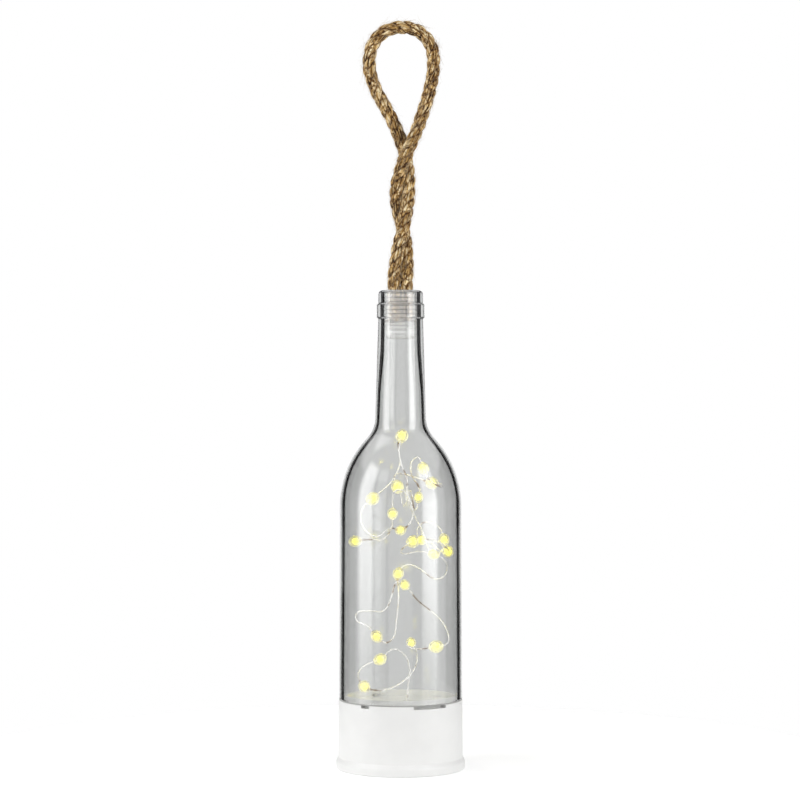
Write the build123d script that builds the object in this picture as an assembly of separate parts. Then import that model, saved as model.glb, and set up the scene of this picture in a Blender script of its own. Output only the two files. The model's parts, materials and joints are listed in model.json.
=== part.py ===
from build123d import *
import os
from math import atan, cos, degrees, pi, radians, sin, tan

os.makedirs("parts", exist_ok=True)

# All sizes are in millimetres. Z is up, the table is at Z = 0 and the bottle stands on the Z axis.

# Glass bottle: a claret shape without a floor, its lower edge resting on the base
bottle_height = 296.0
body_base_radius = 38.2
body_top_radius = 37.6
body_wall = 3.0
shoulder_corner_height = 185.3
shoulder_angle = 41.0
shoulder_round = 61.0
neck_base_radius = 16.0
neck_base_wall = 2.4
neck_base_round = 17.0
neck_top_radius = 14.1
neck_bore_radius = 10.2
neck_bore_length = 36.0
neck_throat_radius = 12.6
neck_throat_share = 0.5
neck_throat_bend = 4.7
collar_radius = 15.0
collar_height = 8.7
collar_drop = 8.6
collar_bevel = 0.4
lip_radius = 14.2
lip_round = 2.6
mouth_bevel = 0.6

# Base housing: a white moulded cup, flush with the glass, on a wider foot
housing_height = 42.5
housing_top_radius = 38.3
housing_foot_radius = 38.6
housing_wall = 2.3
housing_edge_bevel = 0.4
foot_radius = 40.0
foot_height = 7.4
foot_shoulder_height = 5.0
foot_shoulder_round = 3.0
foot_edge_bevel = 0.6
foot_ring_width = 5.0
underside_recess = 1.5
floor_thickness = 2.4
seat_lap = 0.1
ledge_width = 1.2
ledge_depth = 1.5
rim_slot_depth = 1.8
rim_slot_spans = ((-129.0, -120.0), (-78.0, -44.0))

# Seal between the glass and the housing
seal_thickness = 0.8
seal_inset = 0.2

# Base cover: the plate that closes the housing, with a rim that centres the glass
cover_thickness = 2.0
cover_gap = 0.3
cover_rim_width = 1.6
cover_rim_height = 3.5

# Cover screws and their posts
cover_screw_angles = (0.0, 120.0, 240.0)
cover_head_gap = 0.5
cover_screw_radius = 1.2
cover_screw_length = 10.0
cover_head_radius = 2.3
cover_head_height = 1.5
cover_post_radius = 3.0
screw_clearance = 0.05
screw_hole_clearance = 0.3

# Wire grommet in the cover
grommet_x = 4.3
grommet_y = -8.0
grommet_radius = 1.8
grommet_flange_radius = 3.0
grommet_flange = 1.2
grommet_bore_clearance = 0.1

# Battery cells, side by side along X
cell_count = 3
cell_radius = 5.25
cell_length = 44.5
cell_pitch = 11.0
cell_edge_bevel = 0.5
button_radius = 1.9
button_height = 1.0
cell_clearance = 0.5

# Battery contacts and springs
contact_thickness = 0.4
contact_width = 9.0
contact_height = 9.0
tail_width = 2.4
tail_rise = 3.0
tail_clearance = 0.15
spring_length = 5.3
spring_coil_radius = 2.9
spring_tip_radius = 2.1
spring_wire_radius = 0.35
spring_turns = 2
spring_sides = 4

# Battery bay and its door
bay_wall = 1.2
bay_roof = 1.4
door_ledge = 1.0
door_gap = 0.25
door_clearance = 0.2
pin_radius = 0.6
pin_reach = 1.5
pin_play = 0.05
catch_width = 10.0
catch_reach = 0.15
catch_height = 0.8
tongue_slit_width = 0.8
tongue_slit_length = 7.0
grip_ridge_count = 3
grip_ridge_width = 0.8
grip_ridge_pitch = 1.8
grip_ridge_height = 0.4

# Slide switch
switch_y = -25.0
switch_length = 10.0
switch_width = 4.4
switch_height = 4.0
slider_length = 3.0
slider_width = 2.2
slider_top = 1.6
slider_proud = 0.9
slider_travel = 4.0
slider_clearance = 0.3

# Circuit board, over the switch
board_length = 23.4
board_width = 10.0
board_thickness = 1.2
board_y = -24.6
board_post_x = 9.6
board_post_y = -26.8
board_post_radius = 2.0
board_screw_radius = 0.8
board_screw_length = 3.6
board_head_radius = 1.6
board_head_height = 1.0
chip_x = -3.0
chip_y = -23.4
chip_length = 5.0
chip_width = 4.0
chip_height = 1.5
resistor_x = (1.2, 3.4)
resistor_y = -22.4
resistor_length = 2.0
resistor_width = 1.2
resistor_height = 0.5
capacitor_x = 2.4
capacitor_y = -26.6
capacitor_radius = 2.0
capacitor_height = 5.0

# Stopper: a hollow barbed plug
stopper_drop = 0.3
stopper_length = 30.0
stopper_fit = 0.1
barb_count = 8
barb_pitch = 2.5
barb_height = 0.45
barb_start = 4.0
stopper_nose = 2.0
socket_radius = 9.0
socket_depth = 18.0

# Rope: one loop whose two legs are twisted together
rope_radius = 4.2
rope_sides = 8

# Light wire and its lamps
wire_radius = 0.55
wire_sides = 4
drop_sides = 8
drop_radius = 2.5
drop_end_radius = 0.9
drop_length = 7.0
drop_waist = 2.8
lamp_length = 1.6
lamp_width = 1.2
lamp_height = 0.8
lamp_clearance = 0.15
lead_radius = 0.6
lead_x = 9.6
string_lead_x = 6.2
lead_y = -21.8
lead_sides = 6

# Leads inside the base: their straight ends, and the bends between, by height over the tails or the board
lead_start = 5.0
lead_stand = 9.0
string_stand = 8.0
grommet_run = 4.0
positive_bends = [(21.5, 3.5, 10.0), (17.0, -7.0, 10.5), (11.5, -16.5, 6.0)]
negative_bends = [(-21.0, -13.5, 9.5), (-14.5, -18.0, 7.0)]
string_bends = [(5.6, -16.5, 15.0), (4.8, -10.5, 21.5)]

# Share of the shorter run that an arc takes up at each end
arc_share = 0.45

# The open loop, from the left leg over the top to the right leg
loop_route = [
    (-1.2, 3.4, 393.5),
    (-7.8, 2.2, 407.0),
    (-15.6, 1.0, 420.0),
    (-20.0, 0.0, 434.0),
    (-18.6, -0.3, 447.5),
    (-10.4, -0.3, 457.2),
    (0.8, 0.0, 459.9),
    (12.0, 0.2, 457.2),
    (19.8, 0.2, 447.5),
    (20.8, -0.4, 434.5),
    (18.6, -1.2, 421.5),
    (14.6, -2.4, 408.0),
    (9.8, -3.4, 394.0),
]

# The light wire from the grommet up: X, Y, Z and whether a lamp sits there
BARE = False
LAMP = True
wire_route = [
    (4.3, -8.0, 43.7, BARE),
    (4.3, -8.0, 52.0, BARE),
    (6.2, -9.4, 61.5, BARE),
    (3.6, -10.2, 71.5, BARE),
    (-4.5, -11.5, 77.0, BARE),
    (-12.0, -12.5, 68.5, LAMP),
    (-20.5, -10.5, 66.5, BARE),
    (-27.5, -4.0, 60.0, BARE),
    (-23.8, 4.5, 50.0, LAMP),
    (-13.0, 10.5, 47.0, BARE),
    (-1.0, 14.5, 50.5, BARE),
    (8.5, 17.5, 58.5, BARE),
    (11.5, 18.0, 69.5, BARE),
    (6.2, 15.5, 78.5, LAMP),
    (3.0, 6.0, 76.0, BARE),
    (10.0, -4.0, 74.0, BARE),
    (21.5, -9.0, 76.6, LAMP),
    (31.0, -3.0, 77.5, BARE),
    (28.5, 4.0, 88.5, BARE),
    (20.0, 9.0, 96.5, BARE),
    (9.5, 9.5, 104.0, BARE),
    (3.0, 4.0, 113.8, LAMP),
    (-3.0, -2.5, 117.0, BARE),
    (-5.5, -6.5, 107.0, BARE),
    (-9.5, -6.5, 97.0, BARE),
    (-20.0, -4.0, 98.5, BARE),
    (-27.5, -3.0, 97.5, BARE),
    (-28.0, -4.0, 91.5, BARE),
    (-20.0, -7.5, 89.5, BARE),
    (-14.6, -8.5, 82.5, LAMP),
    (-10.0, -5.5, 77.5, BARE),
    (-3.5, -1.5, 81.0, BARE),
    (-2.5, 2.0, 92.5, BARE),
    (-1.0, 5.5, 106.0, BARE),
    (-2.5, 8.0, 120.6, LAMP),
    (3.5, 5.0, 127.0, BARE),
    (12.0, 1.0, 124.0, BARE),
    (20.5, -2.0, 116.5, BARE),
    (28.0, -2.5, 119.0, BARE),
    (29.0, -9.0, 128.0, BARE),
    (20.0, -16.0, 134.2, LAMP),
    (10.0, -18.0, 135.5, BARE),
    (1.5, -10.5, 133.0, BARE),
    (-0.5, 1.5, 134.5, BARE),
    (6.8, 15.0, 140.2, LAMP),
    (17.5, 19.5, 141.0, BARE),
    (25.5, 16.5, 133.0, BARE),
    (31.0, 2.5, 133.6, LAMP),
    (27.0, -10.5, 138.0, BARE),
    (19.0, -14.0, 143.5, BARE),
    (12.0, -6.5, 140.6, LAMP),
    (9.5, 3.0, 147.0, BARE),
    (14.5, 9.5, 153.0, BARE),
    (24.5, 11.0, 150.0, BARE),
    (28.6, 9.5, 140.4, LAMP),
    (25.0, 3.0, 132.5, BARE),
    (17.5, 0.5, 133.5, BARE),
    (14.5, -1.5, 144.5, BARE),
    (9.5, -4.0, 155.0, BARE),
    (4.5, -2.0, 163.0, BARE),
    (11.0, 1.5, 167.6, LAMP),
    (12.5, 8.5, 173.0, BARE),
    (6.0, 4.5, 181.5, BARE),
    (6.5, 2.5, 190.5, BARE),
    (11.5, -2.0, 193.5, BARE),
    (13.8, -5.5, 185.4, LAMP),
    (17.0, -12.0, 178.0, BARE),
    (25.5, -8.5, 173.5, BARE),
    (26.0, 2.5, 176.5, BARE),
    (20.0, 9.5, 175.6, LAMP),
    (12.5, 15.5, 178.5, BARE),
    (4.0, 10.5, 181.5, BARE),
    (-5.0, 6.0, 182.5, BARE),
    (-2.0, -2.5, 174.2, LAMP),
    (3.5, -10.0, 171.5, BARE),
    (5.5, -12.0, 180.5, BARE),
    (1.5, -9.0, 190.5, BARE),
    (-2.0, -6.0, 197.0, BARE),
    (0.8, -3.5, 205.5, LAMP),
    (3.5, 3.0, 208.0, BARE),
    (1.0, 7.5, 200.0, BARE),
    (-2.0, 12.0, 190.0, BARE),
    (-6.0, 13.5, 179.0, BARE),
    (-12.5, 9.5, 170.5, BARE),
    (-17.5, 2.5, 167.0, LAMP),
    (-25.0, -3.0, 160.5, BARE),
    (-24.0, -7.5, 149.5, BARE),
    (-14.5, -11.0, 142.0, BARE),
    (-6.5, -12.5, 150.5, BARE),
    (0.0, -11.5, 147.0, LAMP),
    (6.5, -9.5, 151.0, BARE),
    (8.5, -9.0, 161.0, BARE),
    (1.5, -9.0, 168.5, BARE),
    (-5.5, -8.0, 166.0, BARE),
    (-4.8, -6.5, 157.5, LAMP),
    (-5.5, -3.5, 148.0, BARE),
    (-11.0, -3.0, 140.5, BARE),
    (-20.0, -5.5, 142.5, BARE),
    (-27.5, -9.0, 141.0, LAMP),
]

# Heights and radii that follow from the sizes above
floor_top = underside_recess + floor_thickness
cover_seat = housing_height - cover_thickness
glass_foot = housing_height + seal_thickness
glass_inner_radius = body_base_radius - body_wall
opening_radius = glass_inner_radius - seat_lap
cover_radius = opening_radius - cover_gap
housing_inner_radius = housing_top_radius - housing_wall
cover_screw_circle = cover_radius - cover_rim_width - cover_head_radius - cover_head_gap

# Bay, door and hinge places
bay_length = cell_length + spring_length + 2 * contact_thickness
bay_width = (cell_count - 1) * cell_pitch + 2 * (cell_radius + cell_clearance)
bay_height = 2 * (cell_radius + cell_clearance)
bay_end = bay_length / 2
bay_ceiling = floor_top + bay_height
cell_height = floor_top + bay_height / 2
aperture_length = bay_length + 2 * door_ledge
aperture_width = bay_width + 2 * door_ledge
door_length = aperture_length - 2 * door_gap
door_width = aperture_width - 2 * door_gap
door_thickness = floor_thickness - door_clearance
door_bottom = underside_recess
hinge_y = door_width / 2 - door_thickness / 2
hinge_z = door_bottom + door_thickness / 2
tail_top = bay_ceiling + bay_roof + tail_rise

# Switch and board places
slot_length = slider_length + slider_travel + 2 * slider_clearance
slot_width = slider_width + 2 * slider_clearance
slot_x = -slider_travel / 2
board_bottom = floor_top + switch_height
board_top = board_bottom + board_thickness

# Stopper and rope places
stopper_top = bottle_height - stopper_drop
stopper_bottom = stopper_top - stopper_length
socket_floor = stopper_top - socket_depth
barb_radius = neck_bore_radius - stopper_fit
barb_root_radius = barb_radius - barb_height

# Steps of the rope's twist, from the socket up: height, turn, sway of the pair's axis and each leg's reach
twist_steps = [
    (socket_floor, -4.0, -0.2, 4.45),
    (288.5, -4.0, -0.2, 4.45),
    (299.0, 3.0, -0.3, 4.5),
    (309.5, 16.0, 0.2, 4.55),
    (319.0, 40.0, 0.9, 4.65),
    (328.0, 68.0, 1.4, 4.7),
    (336.5, 99.0, 1.5, 4.7),
    (345.0, 132.0, 1.1, 4.7),
    (353.5, 165.0, 0.9, 4.75),
    (362.0, 199.0, 1.4, 4.8),
    (370.5, 235.0, 2.4, 4.85),
    (379.5, 271.0, 3.2, 4.85),
]


def turned(corners):
    """A solid of revolution about Z, from corners of radius, height and rounding."""
    points = [(radius, height) for radius, height, _ in corners]
    rounds = [rounding for _, _, rounding in corners]
    outline = FilletPolyline(*points, radius=rounds, close=True)
    return revolve(Plane.XZ * make_face(outline), Axis.Z)


def peg(x, y, low, high, radius):
    """An upright cylinder from one height to another."""
    return Pos(x, y, (low + high) / 2) * Cylinder(radius, high - low)


def bar(x, y, z, radius, length):
    """A cylinder along X about its middle."""
    return Pos(x, y, z) * Rot(0, 90, 0) * Cylinder(radius, length)


def block(x, y, low, length, width, height):
    """A box centred on X and Y that stands at a height."""
    return Pos(x, y, low + height / 2) * Box(length, width, height)


def on_circle(radius, angle):
    """A place on a circle about Z."""
    return radius * cos(radians(angle)), radius * sin(radians(angle))


def bend_radii(points):
    """The largest arc that the two runs at each corner leave room for."""
    radii = []
    for before, corner, after in zip(points, points[1:], points[2:]):
        arriving = Vector(corner) - Vector(before)
        leaving = Vector(after) - Vector(corner)
        half_turn = radians(arriving.get_angle(leaving)) / 2
        radii.append(arc_share * min(arriving.length, leaving.length) / tan(half_turn))
    return radii


def tube(name, points, radius, sides):
    """A faceted tube along straight runs and the arcs between them."""
    radii = bend_radii(points)
    path = FilletPolyline(*points, radius=radii)
    section = Plane(path @ 0, z_dir=path % 0) * RegularPolygon(radius, sides)
    solid = sweep(section, path=path)
    expected = section.area * path.length
    print(name, "length", round(path.length, 1), "least radius", round(min(radii), 2))
    print(name, "volume over section times length", round(solid.volume / expected, 4))
    print(name, "radii", [round(value, 1) for value in radii])
    return solid


def glass_bottle():
    """The bottle: body, shoulder, neck, collar and rounded mouth."""
    slope = tan(radians(shoulder_angle))
    neck_corner = shoulder_corner_height + (body_top_radius - neck_base_radius) / slope
    inner_top_radius = body_top_radius - body_wall
    inner_neck_radius = neck_base_radius - neck_base_wall
    inner_shoulder = shoulder_corner_height - body_wall * tan(radians(shoulder_angle) / 2)
    inner_neck_corner = inner_shoulder + (inner_top_radius - inner_neck_radius) / slope
    collar_top = bottle_height - collar_drop
    collar_bottom = collar_top - collar_height
    bore_bottom = bottle_height - neck_bore_length
    throat_run = neck_throat_share * (bore_bottom - inner_neck_corner)
    throat_blend = neck_throat_bend * throat_run
    return turned(
        [
            (body_base_radius, glass_foot, 0),
            (body_top_radius, shoulder_corner_height, shoulder_round),
            (neck_base_radius, neck_corner, neck_base_round),
            (neck_top_radius, collar_bottom, 0),
            (collar_radius - collar_bevel, collar_bottom, 0),
            (collar_radius, collar_bottom + collar_bevel, 0),
            (collar_radius, collar_top - collar_bevel, 0),
            (collar_radius - collar_bevel, collar_top, 0),
            (lip_radius, collar_top, 0),
            (lip_radius, bottle_height, lip_round),
            (neck_bore_radius + mouth_bevel, bottle_height, 0),
            (neck_bore_radius, bottle_height - mouth_bevel, 0),
            (neck_bore_radius, bore_bottom, throat_blend),
            (neck_throat_radius, bore_bottom - throat_run, throat_blend),
            (inner_neck_radius, inner_neck_corner, neck_base_round + neck_base_wall),
            (inner_top_radius, inner_shoulder, shoulder_round - body_wall),
            (glass_inner_radius, glass_foot, 0),
        ]
    )


def housing_shell():
    """The turned form of the base housing: foot, wall, cover ledge and floor."""
    ledge_radius = opening_radius - ledge_width
    ledge_bottom = cover_seat - ledge_depth
    slope_bottom = ledge_bottom - (housing_inner_radius - ledge_radius)
    return turned(
        [
            (0, underside_recess, 0),
            (foot_radius - foot_ring_width, underside_recess, 0),
            (foot_radius - foot_ring_width, 0, 0),
            (foot_radius - foot_edge_bevel, 0, 0),
            (foot_radius, foot_edge_bevel, 0),
            (foot_radius, foot_shoulder_height, foot_shoulder_round),
            (housing_foot_radius, foot_height, 0),
            (housing_top_radius, housing_height - housing_edge_bevel, 0),
            (housing_top_radius - housing_edge_bevel, housing_height, 0),
            (opening_radius, housing_height, 0),
            (opening_radius, cover_seat, 0),
            (ledge_radius, cover_seat, 0),
            (ledge_radius, ledge_bottom, 0),
            (housing_inner_radius, slope_bottom, 0),
            (housing_inner_radius, floor_top, 0),
            (0, floor_top, 0),
        ]
    )


def cell_places():
    """The Y place of each cell, and which way along X its button points."""
    middle = (cell_count - 1) / 2
    return [((i - middle) * cell_pitch, 1 if i % 2 == 0 else -1) for i in range(cell_count)]


def contact_spans():
    """Each contact plate: which end of the bay, and the first and last cell that it touches."""
    spans = []
    for end in (1, -1):
        first = 0 if end == 1 else 1
        if first == 1:
            spans.append((end, 0, 0))
        while first < cell_count:
            last = min(first + 1, cell_count - 1)
            spans.append((end, first, last))
            first = last + 1
    return spans


def tail_places():
    """The X and Y places of the tails on the two contacts that feed the leads."""
    places = []
    for end, first, last in contact_spans():
        if first == last:
            places.append((end * (bay_end - contact_thickness / 2), cell_places()[first][0]))
    return places


def base_housing():
    """The moulded base: shell, battery bay, screw posts, hinge sockets and switch slot."""
    body = housing_shell()
    bay_outer_length = bay_length + 2 * bay_wall
    bay_outer_width = bay_width + 2 * bay_wall
    body += block(0, 0, floor_top, bay_outer_length, bay_outer_width, bay_height + bay_roof)
    for angle in cover_screw_angles:
        x, y = on_circle(cover_screw_circle, angle)
        body += peg(x, y, floor_top, cover_seat, cover_post_radius)
        screw_tip = cover_seat + cover_thickness - cover_screw_length
        body -= peg(x, y, screw_tip, cover_seat, cover_screw_radius + screw_clearance)
    for side in (1, -1):
        body += peg(side * board_post_x, board_post_y, floor_top, board_bottom, board_post_radius)
        tip = board_top - board_screw_length
        hole = board_screw_radius + screw_clearance
        body -= peg(side * board_post_x, board_post_y, tip, board_bottom, hole)
        socket_middle = side * (aperture_length / 2 + pin_reach / 2)
        body -= bar(socket_middle, hinge_y, hinge_z, pin_radius + pin_play, pin_reach + 2 * pin_play)
    body -= block(0, 0, floor_top, bay_length, bay_width, bay_height)
    body -= block(0, 0, underside_recess, aperture_length, aperture_width, floor_thickness)
    body -= block(slot_x, switch_y, underside_recess, slot_length, slot_width, floor_thickness)
    seat_width = housing_top_radius - opening_radius
    rim_outline = Plane.XZ * Pos(opening_radius + seat_width / 2, housing_height) * Rectangle(
        2 * seat_width, 2 * rim_slot_depth
    )
    for start, end in rim_slot_spans:
        body -= Rot(0, 0, start) * revolve(rim_outline, Axis.Z, end - start)
    for x, y in tail_places():
        slot = contact_thickness + 2 * tail_clearance
        body -= block(x, y, bay_ceiling, slot, tail_width + 2 * tail_clearance, bay_roof)
    return body


def glass_seal():
    """The flat ring that the glass stands on."""
    outer = body_base_radius - seal_inset
    inner = opening_radius + seal_inset
    return turned(
        [
            (inner, housing_height, 0),
            (outer, housing_height, 0),
            (outer, glass_foot, 0),
            (inner, glass_foot, 0),
        ]
    )


def base_cover():
    """The plate over the housing, its centring rim, screw holes and wire hole."""
    rim_radius = cover_radius - cover_rim_width
    rim_top = housing_height + cover_rim_height
    body = turned(
        [
            (0, cover_seat, 0),
            (cover_radius, cover_seat, 0),
            (cover_radius, rim_top, 0),
            (rim_radius, rim_top, 0),
            (rim_radius, housing_height, 0),
            (0, housing_height, 0),
        ]
    )
    for angle in cover_screw_angles:
        x, y = on_circle(cover_screw_circle, angle)
        body -= peg(x, y, cover_seat, housing_height, cover_screw_radius + screw_hole_clearance)
    body -= peg(grommet_x, grommet_y, cover_seat, housing_height, grommet_radius)
    return body


def cover_screws():
    """Pan-head screws that hold the cover down."""
    screws = []
    for angle in cover_screw_angles:
        x, y = on_circle(cover_screw_circle, angle)
        tip = housing_height - cover_screw_length
        shank = peg(x, y, tip, housing_height, cover_screw_radius)
        head_top = housing_height + cover_head_height
        screws.append(shank + peg(x, y, housing_height, head_top, cover_head_radius))
    return Compound(screws)


def wire_grommet():
    """The soft bush that the light wire comes up through."""
    top = housing_height + grommet_flange
    body = peg(grommet_x, grommet_y, cover_seat, housing_height, grommet_radius)
    body += peg(grommet_x, grommet_y, housing_height, top, grommet_flange_radius)
    return body - peg(grommet_x, grommet_y, cover_seat, top, wire_radius + grommet_bore_clearance)


def battery_cells():
    """Cells with a bevelled can and a button at one end, laid head to tail."""
    can_length = cell_length - button_height
    upright = turned(
        [
            (0, 0, 0),
            (cell_radius - cell_edge_bevel, 0, 0),
            (cell_radius, cell_edge_bevel, 0),
            (cell_radius, can_length - cell_edge_bevel, 0),
            (cell_radius - cell_edge_bevel, can_length, 0),
            (button_radius, can_length, 0),
            (button_radius, cell_length, 0),
            (0, cell_length, 0),
        ]
    )
    cells = []
    for y, way in cell_places():
        tip = way * (bay_end - contact_thickness)
        cells.append(Pos(tip - way * cell_length, y, cell_height) * Rot(0, 90 * way, 0) * upright)
    return Compound(cells)


def battery_contacts():
    """Flat contact plates against the ends of the bay, two of them with solder tails."""
    places = cell_places()
    plates = []
    for end, first, last in contact_spans():
        x = end * (bay_end - contact_thickness / 2)
        y = (places[first][0] + places[last][0]) / 2
        width = places[last][0] - places[first][0] + contact_width
        low = cell_height - contact_height / 2
        plate = block(x, y, low, contact_thickness, width, contact_height)
        if first == last:
            plate += block(x, y, cell_height, contact_thickness, tail_width, tail_top - cell_height)
        plates.append(plate)
    return Compound(plates)


def coil_point(turn):
    """A place on the tapered coil, and the way that it runs there, with the coil's axis along Z."""
    share = turn / spring_turns
    radius = spring_coil_radius + (spring_tip_radius - spring_coil_radius) * share
    rise = spring_length - 2 * spring_wire_radius
    angle = 2 * pi * turn
    place = Vector(radius * cos(angle), radius * sin(angle), spring_wire_radius + rise * share)
    shrink = (spring_tip_radius - spring_coil_radius) / spring_turns
    along = Vector(
        shrink * cos(angle) - 2 * pi * radius * sin(angle),
        shrink * sin(angle) + 2 * pi * radius * cos(angle),
        rise / spring_turns,
    )
    return place, along.normalized()


def biarc(start, start_way, end, end_way):
    """Two arcs that join two places and run along the given ways there."""
    gap = end - start
    bend = 2 * (1 - start_way.dot(end_way))
    pull = gap.dot(start_way + end_way)
    reach = ((pull * pull + bend * gap.dot(gap)) ** 0.5 - pull) / bend
    first_hand = start + start_way * reach
    second_hand = end - end_way * reach
    middle = (first_hand + second_hand) / 2
    first = TangentArc(start, middle, tangent=start_way)
    return [first, TangentArc(middle, end, tangent=second_hand - first_hand)]


def battery_springs():
    """Tapered coil springs that press on the cells' flat ends."""
    stations = [coil_point(i / 4) for i in range(4 * spring_turns + 1)]
    edges = []
    for (start, start_way), (end, end_way) in zip(stations, stations[1:]):
        edges += biarc(start, start_way, end, end_way)
    path = Wire(edges)
    section = Plane(path @ 0, z_dir=path % 0) * RegularPolygon(spring_wire_radius, spring_sides)
    coil = sweep(section, path=path)
    step = (spring_length - 2 * spring_wire_radius) / spring_turns
    print("battery_springs gap between turns", round(step - 2 * spring_wire_radius, 2))
    springs = []
    for y, way in cell_places():
        foot = -way * (bay_end - contact_thickness)
        springs.append(Pos(foot, y, cell_height) * Rot(0, 90 * way, 0) * coil)
    return Compound(springs)


def battery_door():
    """The door in the underside: a plate with a rounded hinge edge, pins, catch tongue and ridges."""
    half = door_thickness / 2
    free_edge = -door_width / 2
    plate_width = hinge_y - free_edge
    body = block(0, (hinge_y + free_edge) / 2, door_bottom, door_length, plate_width, door_thickness)
    body += bar(0, hinge_y, hinge_z, half, door_length)
    pin_length = door_length + 2 * (door_gap + pin_reach)
    body += bar(0, hinge_y, hinge_z, pin_radius, pin_length)
    slit_y = free_edge + tongue_slit_length / 2
    slit_x = catch_width / 2 + tongue_slit_width / 2
    for side in (1, -1):
        body -= block(
            side * slit_x, slit_y, door_bottom, tongue_slit_width, tongue_slit_length, door_thickness
        )
    body += block(0, free_edge, hinge_z - catch_height / 2, catch_width, 2 * catch_reach, catch_height)
    for i in range(grip_ridge_count):
        y = free_edge + (i + 1) * grip_ridge_pitch
        low = door_bottom - grip_ridge_height
        body += block(0, y, low, catch_width, grip_ridge_width, grip_ridge_height)
    return body


def switch_case():
    """The switch's case, hollow where its slider runs."""
    body = block(slot_x, switch_y, floor_top, switch_length, switch_width, switch_height)
    return body - block(
        slot_x, switch_y, floor_top, slot_length, slot_width, slider_top + slider_clearance
    )


def switch_slider():
    """The slider, at the on end of its slot, with its thumb end under the floor."""
    low = underside_recess - slider_proud
    height = floor_top + slider_top - low
    body = block(0, switch_y, low, slider_length, slider_width, height)
    groove = slider_width / 4
    return body - Pos(0, switch_y, low) * Rot(90, 0, 0) * Cylinder(groove, slider_width)


def circuit_board():
    """The driver board on its two posts."""
    body = block(0, board_y, board_bottom, board_length, board_width, board_thickness)
    for side in (1, -1):
        hole = board_screw_radius + screw_hole_clearance
        body -= peg(side * board_post_x, board_post_y, board_bottom, board_top, hole)
    return body


def board_screws():
    """The two screws that hold the board."""
    screws = []
    for side in (1, -1):
        x = side * board_post_x
        tip = board_top - board_screw_length
        shank = peg(x, board_post_y, tip, board_top, board_screw_radius)
        head_top = board_top + board_head_height
        screws.append(shank + peg(x, board_post_y, board_top, head_top, board_head_radius))
    return Compound(screws)


def timer_chip():
    """The timer circuit on the board."""
    return block(chip_x, chip_y, board_top, chip_length, chip_width, chip_height)


def board_resistors():
    """The resistors on the board."""
    size = (resistor_width, resistor_length, resistor_height)
    return Compound([block(x, resistor_y, board_top, *size) for x in resistor_x])


def board_capacitor():
    """The can capacitor on the board."""
    return peg(capacitor_x, capacitor_y, board_top, board_top + capacitor_height, capacitor_radius)


def raised(bends, height):
    """Bends moved up by a height."""
    return [(x, y, z + height) for x, y, z in bends]


def battery_lead(name, tail, bends, board_x):
    """An insulated lead from a contact's tail, over the bay, down to the board."""
    x, y = tail
    points = [
        (x, y, tail_top),
        (x, y, tail_top + lead_start),
        *raised(bends, tail_top),
        (board_x, lead_y, board_top + lead_stand),
        (board_x, lead_y, board_top),
    ]
    return tube(name, points, lead_radius, lead_sides)


def positive_lead():
    """The lead of the positive tail."""
    return battery_lead("positive_lead", tail_places()[0], positive_bends, lead_x)


def negative_lead():
    """The lead of the negative tail."""
    return battery_lead("negative_lead", tail_places()[1], negative_bends, -lead_x)


def string_lead():
    """The end of the light wire inside the base, from the board up through the grommet."""
    points = [
        (string_lead_x, lead_y, board_top),
        (string_lead_x, lead_y, board_top + string_stand),
        *raised(string_bends, board_top),
        (grommet_x, grommet_y, cover_seat - grommet_run),
        (grommet_x, grommet_y, housing_height + grommet_flange),
    ]
    return tube("string_lead", points, wire_radius, wire_sides)


def stopper():
    """The plug: a socket for the rope's ends, barbs outside and a tapered nose."""
    corners = [
        (0, stopper_bottom, 0),
        (barb_root_radius - stopper_nose, stopper_bottom, 0),
        (barb_root_radius, stopper_bottom + stopper_nose, 0),
    ]
    first = stopper_top - barb_start - barb_count * barb_pitch
    for i in range(barb_count):
        low = first + i * barb_pitch
        corners.append((barb_root_radius, low, 0))
        corners.append((barb_radius, low + 0.8 * barb_pitch, 0))
    corners += [
        (barb_root_radius, first + barb_count * barb_pitch, 0),
        (barb_root_radius, stopper_top, 0),
        (socket_radius, stopper_top, 0),
        (socket_radius, socket_floor, 0),
        (0, socket_floor, 0),
    ]
    return turned(corners)


def twisted_leg(start):
    """One leg's route from the socket to the top of the twist, from its angle at the start."""
    points = []
    for height, turn, sway, reach in twist_steps:
        x, y = on_circle(reach, start + turn)
        points.append((x + sway, y, height))
    return points


def hanging_rope():
    """The rope, from the socket up one leg, round the loop and down the other."""
    left = twisted_leg(180.0)
    right = twisted_leg(0.0)
    return tube("hanging_rope", left + loop_route + right[::-1], rope_radius, rope_sides)


def lamp_planes():
    """A plane at each lamp, its Z along the wire."""
    points = [Vector(*point[:3]) for point in wire_route]
    planes = []
    for i, point in enumerate(wire_route):
        if point[3]:
            before = points[i - 1]
            after = points[min(i + 1, len(points) - 1)]
            place = (before + points[i] * 6 + after) / 8 if i + 1 < len(points) else points[i]
            planes.append(Plane(place, z_dir=after - before))
    return planes


def lamp_chip():
    """One lamp beside the wire, at the origin with the wire along Z."""
    return Pos(wire_radius + lamp_clearance + lamp_height / 2, 0, 0) * Box(
        lamp_height, lamp_width, lamp_length
    )


def led_chips():
    """The lamps along the wire."""
    chip = lamp_chip()
    return Compound([plane * chip for plane in lamp_planes()])


def led_drops():
    """The resin drops round the lamps, each a faceted bead with tapered ends."""
    section = RegularPolygon(drop_radius, drop_sides)
    tip = (drop_length - drop_waist) / 2
    narrowing = (drop_radius - drop_end_radius) * cos(pi / drop_sides)
    drop = extrude(section, drop_waist / 2, both=True)
    for side in (1, -1):
        end = Plane((0, 0, side * drop_waist / 2), z_dir=(0, 0, side)) * section
        drop += extrude(end, tip, taper=degrees(atan(narrowing / tip)))
    drop -= lamp_chip()
    return Compound([plane * drop for plane in lamp_planes()])


def light_wire():
    """The light wire inside the bottle, from the grommet to its last lamp."""
    return tube("light_wire", [point[:3] for point in wire_route], wire_radius, wire_sides)


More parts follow.
